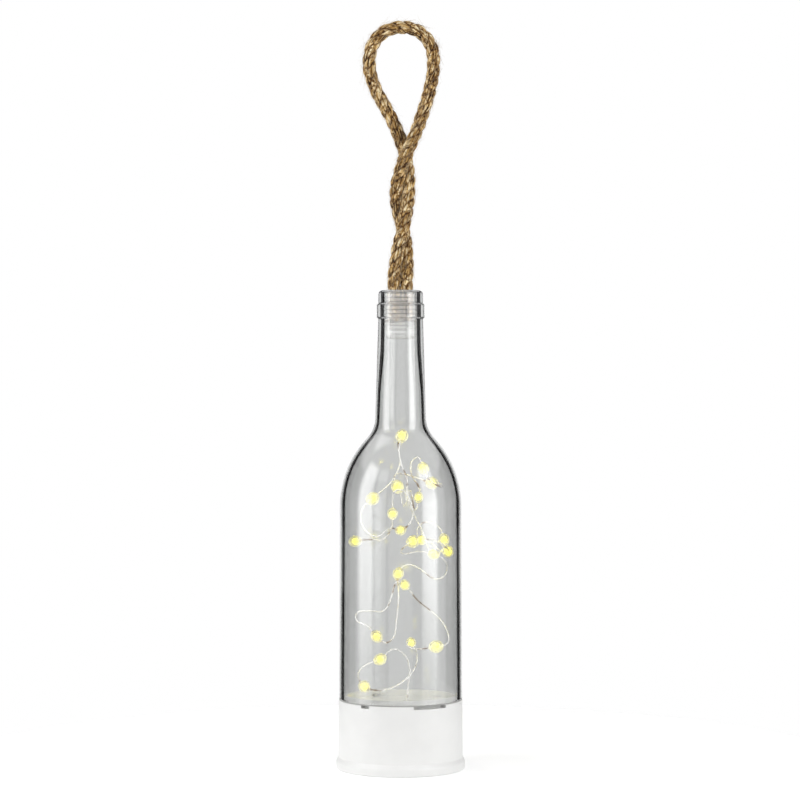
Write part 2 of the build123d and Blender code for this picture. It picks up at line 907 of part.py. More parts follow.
nodes = {
    "glass_bottle": glass_bottle(),
    "base_housing": base_housing(),
    "glass_seal": glass_seal(),
    "base_cover": base_cover(),
    "cover_screws": cover_screws(),
    "wire_grommet": wire_grommet(),
    "battery_cells": battery_cells(),
    "battery_contacts": battery_contacts(),
    "battery_springs": battery_springs(),
    "battery_door": battery_door(),
    "switch_case": switch_case(),
    "switch_slider": switch_slider(),
    "circuit_board": circuit_board(),
    "board_screws": board_screws(),
    "timer_chip": timer_chip(),
    "board_resistors": board_resistors(),
    "board_capacitor": board_capacitor(),
    "positive_lead": positive_lead(),
    "negative_lead": negative_lead(),
    "string_lead": string_lead(),
    "stopper": stopper(),
    "hanging_rope": hanging_rope(),
    "light_wire": light_wire(),
    "led_drops": led_drops(),
    "led_chips": led_chips(),
}
for name, shape in nodes.items():
    export_step(shape, f"parts/{name}.step")
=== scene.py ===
import json
from math import cos, pi, radians, sin, tan
from random import Random

import bpy
from mathutils import Matrix, Vector, noise


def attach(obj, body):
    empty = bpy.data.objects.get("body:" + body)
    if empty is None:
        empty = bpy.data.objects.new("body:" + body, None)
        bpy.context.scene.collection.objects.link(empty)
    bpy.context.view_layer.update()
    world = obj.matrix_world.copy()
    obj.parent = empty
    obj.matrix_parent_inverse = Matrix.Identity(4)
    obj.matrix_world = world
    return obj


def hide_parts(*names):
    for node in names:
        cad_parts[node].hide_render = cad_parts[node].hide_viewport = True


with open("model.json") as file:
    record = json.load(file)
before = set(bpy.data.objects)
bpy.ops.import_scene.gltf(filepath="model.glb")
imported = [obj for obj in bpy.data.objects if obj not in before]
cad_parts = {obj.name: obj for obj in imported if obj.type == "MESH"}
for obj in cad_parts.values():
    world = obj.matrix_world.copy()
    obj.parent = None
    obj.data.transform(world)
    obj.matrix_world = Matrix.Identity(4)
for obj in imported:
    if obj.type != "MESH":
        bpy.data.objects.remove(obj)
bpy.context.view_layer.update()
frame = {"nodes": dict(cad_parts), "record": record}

# All sizes are in metres, in the frame's own axes: the table at Z = 0 and the viewer at -Y.

# Camera, level with the middle of the picture
CAMERA_DISTANCE = 1.426
CAMERA_SIDE = -0.0004
CAMERA_HEIGHT = 0.228
CAMERA_ANGLE = radians(19.74)

# Rope: three strands, laid so that their grooves rise to the right
ROPE_DIAMETER = 0.0084
ROPE_PITCH = 0.021
ROPE_STEP = 0.0006
STRAND_COUNT = 3
STRAND_SIDES = 28
STRAND_RADIUS = 0.0023
STRAND_REACH = 0.0019
STRAND_RIDGE = 0.12
YARN_COUNT = 4
YARN_TWIST = 520.0
YARN_GROOVE = 0.14
SWELL_SHARE = 0.07
SWELL_CELLS = 120
SWELL_APART = 9.0
FIBRE_CELLS = 70
FIBRE_APART = 5
RIDGE_CELLS = 2.4
STREAK_CELLS = 2.2

# Loose fibres on the rope: each pair is the least and the most of a size or a share
FUZZ_SEED = 7
FUZZ_COUNT = 2200
FUZZ_SIDES = 3
FUZZ_STEPS = 6
FUZZ_LENGTH = (0.003, 0.011)
FUZZ_LIFT = (0.02, 0.26)
FUZZ_DRIFT = (-0.4, 0.4)
FUZZ_RADIUS = 0.00006
FUZZ_THICKNESS = (0.7, 1.5)
FUZZ_ROOT = (0.42, 0.48)
FUZZ_BEND = 1.6
FUZZ_TAPER = 0.7

# The twist of the rope's two legs, from the stopper's socket up: height, turn in degrees, sway and reach
TWIST_STEPS = [
    (0.2777, -4.0, -0.0002, 0.00375),
    (0.2885, -4.0, -0.0002, 0.00375),
    (0.2990, 3.0, -0.0003, 0.00380),
    (0.3095, 16.0, 0.0002, 0.00400),
    (0.3190, 40.0, 0.0009, 0.00405),
    (0.3280, 68.0, 0.0014, 0.00410),
    (0.3365, 99.0, 0.0015, 0.00410),
    (0.3450, 132.0, 0.0011, 0.00410),
    (0.3535, 165.0, 0.0009, 0.00410),
    (0.3620, 199.0, 0.0014, 0.00415),
    (0.3705, 235.0, 0.0024, 0.00420),
    (0.3795, 271.0, 0.0032, 0.00420),
]

# The open loop, from the left leg over the top to the right leg
LOOP_ROUTE = [
    (-0.0012, 0.0034, 0.3935),
    (-0.0078, 0.0022, 0.4070),
    (-0.0156, 0.0010, 0.4200),
    (-0.0200, 0.0000, 0.4340),
    (-0.0186, -0.0003, 0.4475),
    (-0.0104, -0.0003, 0.4572),
    (0.0008, 0.0000, 0.4599),
    (0.0120, 0.0002, 0.4572),
    (0.0198, 0.0002, 0.4475),
    (0.0208, -0.0004, 0.4345),
    (0.0186, -0.0012, 0.4215),
    (0.0146, -0.0024, 0.4080),
    (0.0098, -0.0034, 0.3940),
]

# Light wire: a twisted pair, with a resin drop round each lamp
WIRE_PITCH = 0.0065
WIRE_STEP = 0.0006
WIRE_SIDES = 7
CORE_COUNT = 2
CORE_RADIUS = 0.00028
CORE_REACH = 0.00031
DROP_LENGTH = 0.0086
DROP_RADIUS = 0.0037
DROP_END_RADIUS = 0.0007
DROP_SIDES = 20
DROP_RINGS = 14
DROP_SEED = 3
DROP_SCALE = (0.80, 1.10)
DROP_FULLNESS = 0.6
DROP_LEAN = 0.05
HEART_SHARE = 0.36
LAMP_POWER = 0.0004
LAMP_COLOUR = (1.0, 0.78, 0.30)

# The light wire's route from the grommet up, and whether a lamp sits at each point
BARE = False
LAMP = True
WIRE_ROUTE = [
    (0.0043, -0.0080, 0.0437, BARE),
    (0.0043, -0.0080, 0.0520, BARE),
    (0.0062, -0.0094, 0.0615, BARE),
    (0.0036, -0.0102, 0.0715, BARE),
    (-0.0045, -0.0115, 0.0770, BARE),
    (-0.0120, -0.0125, 0.0685, LAMP),
    (-0.0205, -0.0105, 0.0665, BARE),
    (-0.0275, -0.0040, 0.0600, BARE),
    (-0.0238, 0.0045, 0.0500, LAMP),
    (-0.0130, 0.0105, 0.0470, BARE),
    (-0.0010, 0.0145, 0.0505, BARE),
    (0.0085, 0.0175, 0.0585, BARE),
    (0.0115, 0.0180, 0.0695, BARE),
    (0.0062, 0.0155, 0.0785, LAMP),
    (0.0030, 0.0060, 0.0760, BARE),
    (0.0100, -0.0040, 0.0740, BARE),
    (0.0215, -0.0090, 0.0766, LAMP),
    (0.0310, -0.0030, 0.0775, BARE),
    (0.0285, 0.0040, 0.0885, BARE),
    (0.0200, 0.0090, 0.0965, BARE),
    (0.0095, 0.0095, 0.1040, BARE),
    (0.0030, 0.0040, 0.1138, LAMP),
    (-0.0030, -0.0025, 0.1170, BARE),
    (-0.0055, -0.0065, 0.1070, BARE),
    (-0.0095, -0.0065, 0.0970, BARE),
    (-0.0200, -0.0040, 0.0985, BARE),
    (-0.0275, -0.0030, 0.0975, BARE),
    (-0.0280, -0.0040, 0.0915, BARE),
    (-0.0200, -0.0075, 0.0895, BARE),
    (-0.0146, -0.0085, 0.0825, LAMP),
    (-0.0100, -0.0055, 0.0775, BARE),
    (-0.0035, -0.0015, 0.0810, BARE),
    (-0.0025, 0.0020, 0.0925, BARE),
    (-0.0010, 0.0055, 0.1060, BARE),
    (-0.0025, 0.0080, 0.1206, LAMP),
    (0.0035, 0.0050, 0.1270, BARE),
    (0.0120, 0.0010, 0.1240, BARE),
    (0.0205, -0.0020, 0.1165, BARE),
    (0.0280, -0.0025, 0.1190, BARE),
    (0.0290, -0.0090, 0.1280, BARE),
    (0.0200, -0.0160, 0.1342, LAMP),
    (0.0100, -0.0180, 0.1355, BARE),
    (0.0015, -0.0105, 0.1330, BARE),
    (-0.0005, 0.0015, 0.1345, BARE),
    (0.0068, 0.0150, 0.1402, LAMP),
    (0.0175, 0.0195, 0.1410, BARE),
    (0.0255, 0.0165, 0.1330, BARE),
    (0.0310, 0.0025, 0.1336, LAMP),
    (0.0270, -0.0105, 0.1380, BARE),
    (0.0190, -0.0140, 0.1435, BARE),
    (0.0120, -0.0065, 0.1406, LAMP),
    (0.0095, 0.0030, 0.1470, BARE),
    (0.0145, 0.0095, 0.1530, BARE),
    (0.0245, 0.0110, 0.1500, BARE),
    (0.0286, 0.0095, 0.1404, LAMP),
    (0.0250, 0.0030, 0.1325, BARE),
    (0.0175, 0.0005, 0.1335, BARE),
    (0.0145, -0.0015, 0.1445, BARE),
    (0.0095, -0.0040, 0.1550, BARE),
    (0.0060, -0.0055, 0.1610, BARE),
    (0.0042, -0.0070, 0.1675, BARE),
    (0.0049, -0.0055, 0.1720, BARE),
    (0.0065, -0.0016, 0.1720, BARE),
    (0.0073, 0.0000, 0.1660, BARE),
    (0.0083, 0.0012, 0.1598, BARE),
    (0.0099, 0.0050, 0.1594, BARE),
    (0.0107, 0.0058, 0.1635, BARE),
    (0.0110, 0.0015, 0.1676, LAMP),
    (0.0125, 0.0085, 0.1730, BARE),
    (0.0060, 0.0045, 0.1815, BARE),
    (0.0065, 0.0025, 0.1905, BARE),
    (0.0115, -0.0020, 0.1935, BARE),
    (0.0138, -0.0055, 0.1854, LAMP),
    (0.0170, -0.0120, 0.1780, BARE),
    (0.0255, -0.0085, 0.1735, BARE),
    (0.0260, 0.0025, 0.1765, BARE),
    (0.0200, 0.0095, 0.1756, LAMP),
    (0.0125, 0.0155, 0.1785, BARE),
    (0.0040, 0.0105, 0.1815, BARE),
    (-0.0050, 0.0060, 0.1825, BARE),
    (-0.0020, -0.0025, 0.1742, LAMP),
    (0.0004, -0.0065, 0.1690, BARE),
    (0.0010, -0.0085, 0.1640, BARE),
    (0.0022, -0.0135, 0.1625, BARE),
    (0.0034, -0.0155, 0.1685, BARE),
    (0.0045, -0.0130, 0.1795, BARE),
    (0.0005, -0.0100, 0.1870, BARE),
    (-0.0014, -0.0065, 0.1970, BARE),
    (0.0008, -0.0035, 0.2055, LAMP),
    (0.0025, 0.0030, 0.2090, BARE),
    (-0.0025, 0.0075, 0.2010, BARE),
    (0.0005, 0.0115, 0.1890, BARE),
    (-0.0045, 0.0135, 0.1775, BARE),
    (-0.0125, 0.0095, 0.1705, BARE),
    (-0.0175, 0.0025, 0.1670, LAMP),
    (-0.0250, -0.0030, 0.1605, BARE),
    (-0.0240, -0.0075, 0.1495, BARE),
    (-0.0145, -0.0110, 0.1420, BARE),
    (-0.0065, -0.0125, 0.1505, BARE),
    (0.0000, -0.0115, 0.1470, LAMP),
    (0.0068, -0.0095, 0.1525, BARE),
    (0.0080, -0.0090, 0.1610, BARE),
    (0.0030, -0.0090, 0.1725, BARE),
    (-0.0040, -0.0082, 0.1725, BARE),
    (-0.0054, -0.0074, 0.1660, BARE),
    (-0.0048, -0.0065, 0.1575, LAMP),
    (-0.0055, -0.0035, 0.1480, BARE),
    (-0.0110, -0.0030, 0.1405, BARE),
    (-0.0200, -0.0055, 0.1425, BARE),
    (-0.0275, -0.0090, 0.1410, LAMP),
]

# Glass bottle: the outline of the CAD node with its small edges rounded
GLASS_SEGMENTS = 192
BODY_BASE_RADIUS = 0.0382
BODY_TOP_RADIUS = 0.0376
BODY_WALL = 0.0030
GLASS_FOOT = 0.0433
SHOULDER_HEIGHT = 0.1853
SHOULDER_ANGLE = radians(41)
SHOULDER_ROUND = 0.061
NECK_BASE_RADIUS = 0.0160
NECK_BASE_WALL = 0.0024
NECK_BASE_ROUND = 0.017
NECK_TOP_RADIUS = 0.0139
BORE_RADIUS = 0.0102
BORE_LENGTH = 0.036
THROAT_RADIUS = 0.0126
THROAT_SHARE = 0.5
THROAT_BEND = 4.7
BOTTLE_HEIGHT = 0.296
COLLAR_RADIUS = 0.0149
COLLAR_TOP = 0.2874
COLLAR_BOTTOM = 0.2787
COLLAR_ROUND = 0.0009
COLLAR_ROOT = 0.0008
LIP_RADIUS = 0.0139
LIP_ROUND = 0.0026
MOUTH_ROUND = 0.0008
FOOT_ROUND = 0.0006
ROUND_STEPS = 16

# Stopper: the foot of its lowest barb, the barbs' pitch, and the painted shade under the barbs, which deepens
# between two heights
BARB_FOOT = 0.2717
BARB_PITCH = 0.0025
BARB_PAINTED_SHADES = (0.40, 0.66)
BARB_PAINTED_SHADE_HEIGHTS = (0.266, 0.277)

# Studio: softboxes by their bearing from the viewer, in degrees, with their radiance
BOX_DISTANCE = 1.0
BOX_LOW = -0.12
BOX_HIGH = 1.15
BOX_FADE = 0.20
SOFTBOXES = [
    ("left_softbox", -90.0, -52.0, 4.2),
    ("left_fill", -52.0, -26.0, 1.4),
    ("right_softbox", 38.0, 76.0, 4.6),
]
OVERHEAD_PLACE = (-0.46, 0.26, 1.25)
OVERHEAD_SIZE = 0.80
OVERHEAD_RADIANCE = 1.8
AMBIENT = 0.265

# Dark cards round the set: each pair is where one fades, along Y or Z of a ray's direction
CARD_FRONT_EDGE = (0.30, 0.45)
CARD_BACK_EDGE = (0.02, 0.12)
CARD_END = (0.89, 0.95)
CARD_RISE = (0.42, 0.52)
CARD_GAP_FOOT = (-0.09, -0.078)
CARD_GAP_TOP = (-0.055, -0.04)
CARD_GAP_SHARE = 0.75
CARD_FRONT_TO_BACK = (-0.1, 0.1)
CARD_FRONT_SHARE = 0.6
CARD_RADIANCE = 0.01

# Floor: a round sheet of paper, with its glow where it is seen and where it lights a surface
FLOOR_RADIUS = 0.3
FLOOR_SIDES = 96
FLOOR_LIFT = 0.45
FLOOR_BOUNCE = 0.12

# Grain of the materials, in cells to the metre, the depth of their bumps and the drift of their gloss
PATCH_CELLS = 150.0
FLECK_CELLS = 520.0
FUZZ_CELLS = 400.0
WIRE_TONE_CELLS = 90.0
WIRE_GLOSS_CELLS = 900.0
RESIN_CELLS = 700.0
PHOSPHOR_CELLS = 1500.0
RIPPLE_CELLS = 24.0
STOPPER_CLOUD_CELLS = 150.0
STOPPER_GLOSS_CELLS = 700.0
DRIFT_CELLS = 70.0
PAPER_CELLS = 400.0
STREAK_DEPTH = 0.0003
RIPPLE_DEPTH = 0.0006
FINISH_DEPTH = 0.0002
FINISH_GLOSS_DRIFT = 0.08

# Plain colours
WHITE = (1.0, 1.0, 1.0)
BLACK = (0.0, 0.0, 0.0)

# Shade, darker shade, roughness, grain to the metre, bump and metal of each plain slot
PLAIN_SLOTS = {
    "white_plastic": ((0.84, 0.84, 0.83), (0.81, 0.81, 0.80), 0.42, 2200.0, 0.05, 0.0),
    # grey_plastic is darker than white_plastic partly as painted shade, for the shade on the cover inside the
    # bottle
    "grey_plastic": ((0.70, 0.70, 0.69), (0.64, 0.64, 0.63), 0.5, 2000.0, 0.08, 0.0),
    "seal_rubber": ((0.40, 0.40, 0.39), (0.32, 0.32, 0.31), 0.75, 2500.0, 0.2, 0.0),
    "grommet_rubber": ((0.60, 0.60, 0.58), (0.52, 0.52, 0.50), 0.7, 2500.0, 0.2, 0.0),
    "screw_steel": ((0.66, 0.66, 0.67), (0.52, 0.52, 0.53), 0.3, 3000.0, 0.1, 1.0),
    "spring_steel": ((0.72, 0.72, 0.72), (0.58, 0.58, 0.58), 0.25, 3000.0, 0.1, 1.0),
    "contact_plate": ((0.76, 0.75, 0.72), (0.62, 0.61, 0.57), 0.28, 2500.0, 0.1, 1.0),
    "cell_jacket": ((0.22, 0.24, 0.26), (0.15, 0.165, 0.18), 0.25, 1500.0, 0.03, 0.3),
    "board_laminate": ((0.07, 0.30, 0.15), (0.04, 0.20, 0.10), 0.35, 1800.0, 0.15, 0.0),
    "black_plastic": ((0.045, 0.045, 0.05), (0.025, 0.025, 0.03), 0.45, 2400.0, 0.1, 0.0),
    "capacitor_can": ((0.70, 0.70, 0.71), (0.55, 0.55, 0.56), 0.3, 2500.0, 0.08, 0.9),
    "red_insulation": ((0.55, 0.05, 0.04), (0.42, 0.03, 0.025), 0.4, 1500.0, 0.05, 0.0),
    "black_insulation": ((0.05, 0.05, 0.05), (0.03, 0.03, 0.03), 0.4, 1500.0, 0.05, 0.0),
}


# Camera, meshes and lines

def add_object(name, data):
    """An object in the scene, made from its data."""
    made = bpy.data.objects.new(name, data)
    bpy.context.scene.collection.objects.link(made)
    return made


def make_camera():
    """The camera at the photograph's distance, height and angle of view."""
    data = bpy.data.cameras.new("camera")
    data.angle = CAMERA_ANGLE
    made = add_object("camera", data)
    made.location = (CAMERA_SIDE, -CAMERA_DISTANCE, CAMERA_HEIGHT)
    made.rotation_euler = (pi / 2, 0, 0)
    bpy.context.scene.camera = made


def add_mesh(name, points, faces):
    """A smooth mesh object from points and faces."""
    data = bpy.data.meshes.new(name)
    data.from_pydata(points, [], faces)
    data.polygons.foreach_set("use_smooth", [True] * len(data.polygons))
    data.update()
    return add_object(name, data)


def store(made, name, kind, values):
    """Keeps a value for each vertex, for the material to read."""
    layer = made.data.attributes.new(name, kind, "POINT")
    if kind == "FLOAT":
        layer.data.foreach_set("value", values)
    else:
        layer.data.foreach_set("vector", [number for value in values for number in value])


def ring_faces(first, rings, sides):
    """The faces of a tube of rings, closed at both ends."""
    faces = []
    for ring in range(rings - 1):
        low = first + ring * sides
        for side in range(sides):
            after = (side + 1) % sides
            faces.append((low + side, low + after, low + sides + after, low + sides + side))
    faces.append(tuple(first + side for side in reversed(range(sides))))
    last = first + (rings - 1) * sides
    faces.append(tuple(last + side for side in range(sides)))
    return faces


def spline_line(points):
    """Points read from the smooth spline that has a route's points as its controls."""
    data = bpy.data.curves.new("route", "CURVE")
    data.dimensions = "3D"
    spline = data.splines.new("NURBS")
    spline.points.add(len(points) - 1)
    for control, place in zip(spline.points, points):
        control.co = (*place, 1)
    spline.order_u = 3
    spline.use_endpoint_u = True
    carrier = bpy.data.objects.new("route", data)
    mesh = bpy.data.meshes.new_from_object(carrier)
    line = [vertex.co.copy() for vertex in mesh.vertices]
    bpy.data.objects.remove(carrier)
    bpy.data.meshes.remove(mesh)
    bpy.data.curves.remove(data)
    return line


def even(line, step):
    """Places at an even step along a line."""
    made = [line[0].copy()]
    left = step
    for start, end in zip(line, line[1:]):
        run = (end - start).length
        at = left
        while at <= run:
            made.append(start.lerp(end, at / run))
            at += step
        left = at - run
    return made


def carried_axes(places):
    """The direction along a line at each place, with two axes across it that don't spin."""
    axes = []
    side = None
    for i in range(len(places)):
        along = (places[min(i + 1, len(places) - 1)] - places[max(i - 1, 0)]).normalized()
        if side is None:
            side = along.orthogonal().normalized()
        side = (side - along * side.dot(along)).normalized()
        axes.append((along, side, along.cross(side)))
    return axes


def turned(first, second, angle):
    """The direction at an angle from one axis towards another."""
    return first * cos(angle) + second * sin(angle)


# Rope

def twisted_leg(start):
    """One leg's route from the socket to the top of the twist, from its bearing at the start."""
    points = []
    for height, turn, sway, reach in TWIST_STEPS:
        angle = radians(start + turn)
        points.append((sway + reach * cos(angle), reach * sin(angle), height))
    return points


def rope_strands(places, axes):
    """Laid strands of yarn, each vertex marked with its fibre, its depth in the lay and its yarn's crest."""
    points, faces, fibres, depths, crests = [], [], [], [], []
    slant = 2 * pi * STRAND_REACH / ROPE_PITCH
    for strand in range(STRAND_COUNT):
        first = len(points)
        for i, (place, (along, side, up)) in enumerate(zip(places, axes)):
            run = i * ROPE_STEP
            out = turned(side, up, 2 * pi * (run / ROPE_PITCH + strand / STRAND_COUNT))
            heading = (along + along.cross(out) * slant).normalized()
            around = heading.cross(out)
            swell = 1 + SWELL_SHARE * noise.noise(Vector((run * SWELL_CELLS, strand * SWELL_APART, 0)))
            centre = place + out * STRAND_REACH
            for j in range(STRAND_SIDES):
                angle = 2 * pi * j / STRAND_SIDES
                yarn_angle = angle + YARN_TWIST * run
                crest = abs(sin(YARN_COUNT * yarn_angle / 2))
                fibre_run = run * FIBRE_CELLS + strand * FIBRE_APART
                fibre = Vector((cos(yarn_angle), sin(yarn_angle), fibre_run))
                ridge = STRAND_RIDGE * noise.noise(fibre * RIDGE_CELLS) - YARN_GROOVE * (1 - crest) ** 2
                radius = STRAND_RADIUS * swell * (1 + ridge)
                point = centre + turned(out, around, angle) * radius
                points.append(point)
                fibres.append(fibre)
                depths.append((point - place).length / (ROPE_DIAMETER / 2))
                crests.append(crest)
        faces += ring_faces(first, len(places), STRAND_SIDES)
    made = add_mesh("laid_rope", points, faces)
    store(made, "fibre", "FLOAT_VECTOR", fibres)
    store(made, "depth", "FLOAT", depths)
    store(made, "crest", "FLOAT", crests)
    return made


def rope_fuzz(places, axes):
    """Loose fibres that stand off the rope."""
    chance = Random(FUZZ_SEED)
    points, faces = [], []
    for _ in range(FUZZ_COUNT):
        i = chance.randrange(len(places))
        along, side, up = axes[i]
        out = turned(side, up, chance.uniform(0, 2 * pi))
        across = along.cross(out)
        way = 1 if chance.random() < 0.5 else -1
        length = chance.uniform(*FUZZ_LENGTH)
        lift = chance.uniform(*FUZZ_LIFT) * length
        drift = chance.uniform(*FUZZ_DRIFT) * length
        radius = FUZZ_RADIUS * chance.uniform(*FUZZ_THICKNESS)
        start = places[i] + out * ROPE_DIAMETER * chance.uniform(*FUZZ_ROOT)
        first = len(points)
        for step in range(FUZZ_STEPS):
            share = step / (FUZZ_STEPS - 1)
            centre = start + along * way * length * share
            centre += out * lift * share ** FUZZ_BEND
            centre += across * drift * share ** 2
            width = radius * (1 - FUZZ_TAPER * share)
            for k in range(FUZZ_SIDES):
                points.append(centre + turned(out, across, 2 * pi * k / FUZZ_SIDES) * width)
        faces += ring_faces(first, FUZZ_STEPS, FUZZ_SIDES)
    return add_mesh("rope_fuzz", points, faces)


def make_rope():
    """The hanging rope, from the socket up one leg, round the loop and down the other."""
    route = twisted_leg(180.0) + LOOP_ROUTE + twisted_leg(0.0)[::-1]
    line = spline_line(route)
    places = even(line, ROPE_STEP)
    axes = carried_axes(places)
    rope = rope_strands(places, axes)
    rope.data.materials.append(rope_material())
    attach(rope, "stopper_and_rope")
    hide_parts("hanging_rope")
    fuzz = rope_fuzz(places, axes)
    fuzz.data.materials.append(fuzz_material())
    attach(fuzz, "stopper_and_rope")


# Light wire

def wire_pair(places, axes):
    """Fine wires twisted round each other."""
    points, faces = [], []
    for core in range(CORE_COUNT):
        first = len(points)
        for i, (place, (_, side, up)) in enumerate(zip(places, axes)):
            turn = 2 * pi * (i * WIRE_STEP / WIRE_PITCH + core / CORE_COUNT)
            centre = place + turned(side, up, turn) * CORE_REACH
            for k in range(WIRE_SIDES):
                points.append(centre + turned(side, up, 2 * pi * k / WIRE_SIDES) * CORE_RADIUS)
        faces += ring_faces(first, len(places), WIRE_SIDES)
    return add_mesh("string_wire", points, faces)


def lamp_places(line):
    """The place and axes of each lamp on the wire."""
    axes = carried_axes(line)
    places = []
    for x, y, z, lamp in WIRE_ROUTE:
        if lamp:
            control = Vector((x, y, z))
            nearest = min(range(len(line)), key=lambda k: (line[k] - control).length)
            places.append((line[nearest], axes[nearest]))
    return places


def beads(name, lamps, share):
    """A smooth bead at each lamp, at a share of the resin drop's size."""
    chance = Random(DROP_SEED)
    points, faces = [], []
    for place, (along, side, up) in lamps:
        first = len(points)
        lean = chance.uniform(0, 2 * pi)
        scale = share * chance.uniform(*DROP_SCALE)
        for ring in range(DROP_RINGS):
            run = ring / (DROP_RINGS - 1)
            swell = sin(pi * run) ** DROP_FULLNESS
            radius = scale * (DROP_END_RADIUS + (DROP_RADIUS - DROP_END_RADIUS) * swell)
            centre = place + along * scale * DROP_LENGTH * (run - 0.5)
            for k in range(DROP_SIDES):
                angle = 2 * pi * k / DROP_SIDES
                wobble = 1 + DROP_LEAN * swell * cos(angle - lean)
                points.append(centre + turned(side, up, angle) * radius * wobble)
        faces += ring_faces(first, DROP_RINGS, DROP_SIDES)
    return add_mesh(name, points, faces)


def add_glow(place):
    """The light that a lamp throws on what is near it."""
    data = bpy.data.lights.new("lamp_glow", "POINT")
    data.energy = LAMP_POWER
    data.color = LAMP_COLOUR
    data.shadow_soft_size = DROP_RADIUS
    made = add_object("lamp_glow", data)
    made.location = place
    made.visible_camera = False
    made.visible_glossy = False
    made.visible_transmission = False


def make_light_wire():
    """The string of lamps inside the bottle."""
    line = spline_line([point[:3] for point in WIRE_ROUTE])
    places = even(line, WIRE_STEP)
    wire = wire_pair(places, carried_axes(places))
    wire.data.materials.append(wire_material())
    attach(wire, "bottle_and_base")
    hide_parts("light_wire")
    lamps = lamp_places(line)
    drops = beads("lamp_drops", lamps, 1.0)
    drops.data.materials.append(resin_material())
    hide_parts("led_drops")
    hearts = beads("lamp_hearts", lamps, HEART_SHARE)
    hearts.data.materials.append(heart_material())
    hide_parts("led_chips")
    for piece in (drops, hearts):
        piece.visible_shadow = False
        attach(piece, "bottle_and_base")
    for place, _ in lamps:
        add_glow(place)


# Glass

def rounded(corners):
    """Points round a closed outline of radius, height and rounding, with each rounding as an arc."""
    points = []
    for i, (radius, height, rounding) in enumerate(corners):
        corner = Vector((radius, height))
        before = (Vector(corners[i - 1][:2]) - corner).normalized()
        after = (Vector(corners[(i + 1) % len(corners)][:2]) - corner).normalized()
        half = before.angle(after) / 2
        centre = corner + (before + after).normalized() * rounding / sin(half)
        first = corner + before * rounding / tan(half) - centre
        last = corner + after * rounding / tan(half) - centre
        sweep = first.angle_signed(last)
        for step in range(ROUND_STEPS + 1):
            points.append(centre + Matrix.Rotation(-sweep * step / ROUND_STEPS, 2) @ first)
    return points


def glass_outline():
    """The bottle's outline: up the outside to the mouth and down the inside."""
    slope = tan(SHOULDER_ANGLE)
    neck_corner = SHOULDER_HEIGHT + (BODY_TOP_RADIUS - NECK_BASE_RADIUS) / slope
    inner_top = BODY_TOP_RADIUS - BODY_WALL
    inner_neck = NECK_BASE_RADIUS - NECK_BASE_WALL
    inner_shoulder = SHOULDER_HEIGHT - BODY_WALL * tan(SHOULDER_ANGLE / 2)
    inner_neck_corner = inner_shoulder + (inner_top - inner_neck) / slope
    bore_bottom = BOTTLE_HEIGHT - BORE_LENGTH
    throat_run = THROAT_SHARE * (bore_bottom - inner_neck_corner)
    throat_blend = THROAT_BEND * throat_run
    return rounded([
        (BODY_BASE_RADIUS, GLASS_FOOT, FOOT_ROUND),
        (BODY_TOP_RADIUS, SHOULDER_HEIGHT, SHOULDER_ROUND),
        (NECK_BASE_RADIUS, neck_corner, NECK_BASE_ROUND),
        (NECK_TOP_RADIUS, COLLAR_BOTTOM, COLLAR_ROOT),
        (COLLAR_RADIUS, COLLAR_BOTTOM, COLLAR_ROUND),
        (COLLAR_RADIUS, COLLAR_TOP, COLLAR_ROUND),
        (LIP_RADIUS, COLLAR_TOP, COLLAR_ROOT),
        (LIP_RADIUS, BOTTLE_HEIGHT, LIP_ROUND),
        (BORE_RADIUS, BOTTLE_HEIGHT, MOUTH_ROUND),
        (BORE_RADIUS, bore_bottom, throat_blend),
        (THROAT_RADIUS, bore_bottom - throat_run, throat_blend),
        (inner_neck, inner_neck_corner, NECK_BASE_ROUND + NECK_BASE_WALL),
        (inner_top, inner_shoulder, SHOULDER_ROUND - BODY_WALL),
        (BODY_BASE_RADIUS - BODY_WALL, GLASS_FOOT, FOOT_ROUND),
    ])


def make_glass():
    """The bottle as one smooth turned wall."""
    outline = glass_outline()
    count = len(outline)
    points, faces = [], []
    for segment in range(GLASS_SEGMENTS):
        angle = 2 * pi * segment / GLASS_SEGMENTS
        points += [(radius * cos(angle), radius * sin(angle), height) for radius, height in outline]
        here = segment * count
        there = (segment + 1) % GLASS_SEGMENTS * count
        for i in range(count):
            after = (i + 1) % count
            faces.append((here + i, there + i, there + after, here + after))
    glass = add_mesh("glass_wall", points, faces)
    glass.data.materials.append(glass_material())
    glass.visible_shadow = False
    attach(glass, "bottle_and_base")
    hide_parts("glass_bottle")


# Material helpers

def new_material(name):
    """A material, its node tree and its main shader."""
    made = bpy.data.materials.new(name)
    made.use_nodes = True
    return made, made.node_tree, made.node_tree.nodes["Principled BSDF"]


def give(tree, made, name, value):
    """Sets an input to a value or links another node's output to it."""
    if isinstance(value, bpy.types.NodeSocket):
        tree.links.new(value, made.inputs[name])
    else:
        made.inputs[name].default_value = value


def node(tree, kind, inputs=(), **settings):
    """Adds a node whose inputs are values or other nodes' outputs."""
    made = tree.nodes.new("ShaderNode" + kind)
    for name, value in settings.items():
        setattr(made, name, value)
    for name, value in dict(inputs).items():
        give(tree, made, name, value)
    return made


def work_out(tree, operation, *values):
    """The result of a sum on one or more numbers."""
    return node(tree, "Math", dict(enumerate(values)), operation=operation).outputs[0]


def ramp(tree, factor, stops):
    """Colours along a ramp of positions and colours."""
    made = node(tree, "ValToRGB", {"Fac": factor})
    elements = made.color_ramp.elements
    elements[0].position, elements[1].position = stops[0][0], stops[-1][0]
    elements[0].color, elements[1].color = (*stops[0][1], 1), (*stops[-1][1], 1)
    for position, colour in stops[1:-1]:
        elements.new(position).color = (*colour, 1)
    return made.outputs["Color"]


def spread(tree, value, low, high, start=0.0, end=1.0):
    """A value moved from one range to another, smoothly at its ends."""
    inputs = {"Value": value, "From Min": start, "From Max": end, "To Min": low, "To Max": high}
    return node(tree, "MapRange", inputs, interpolation_type="SMOOTHSTEP").outputs["Result"]


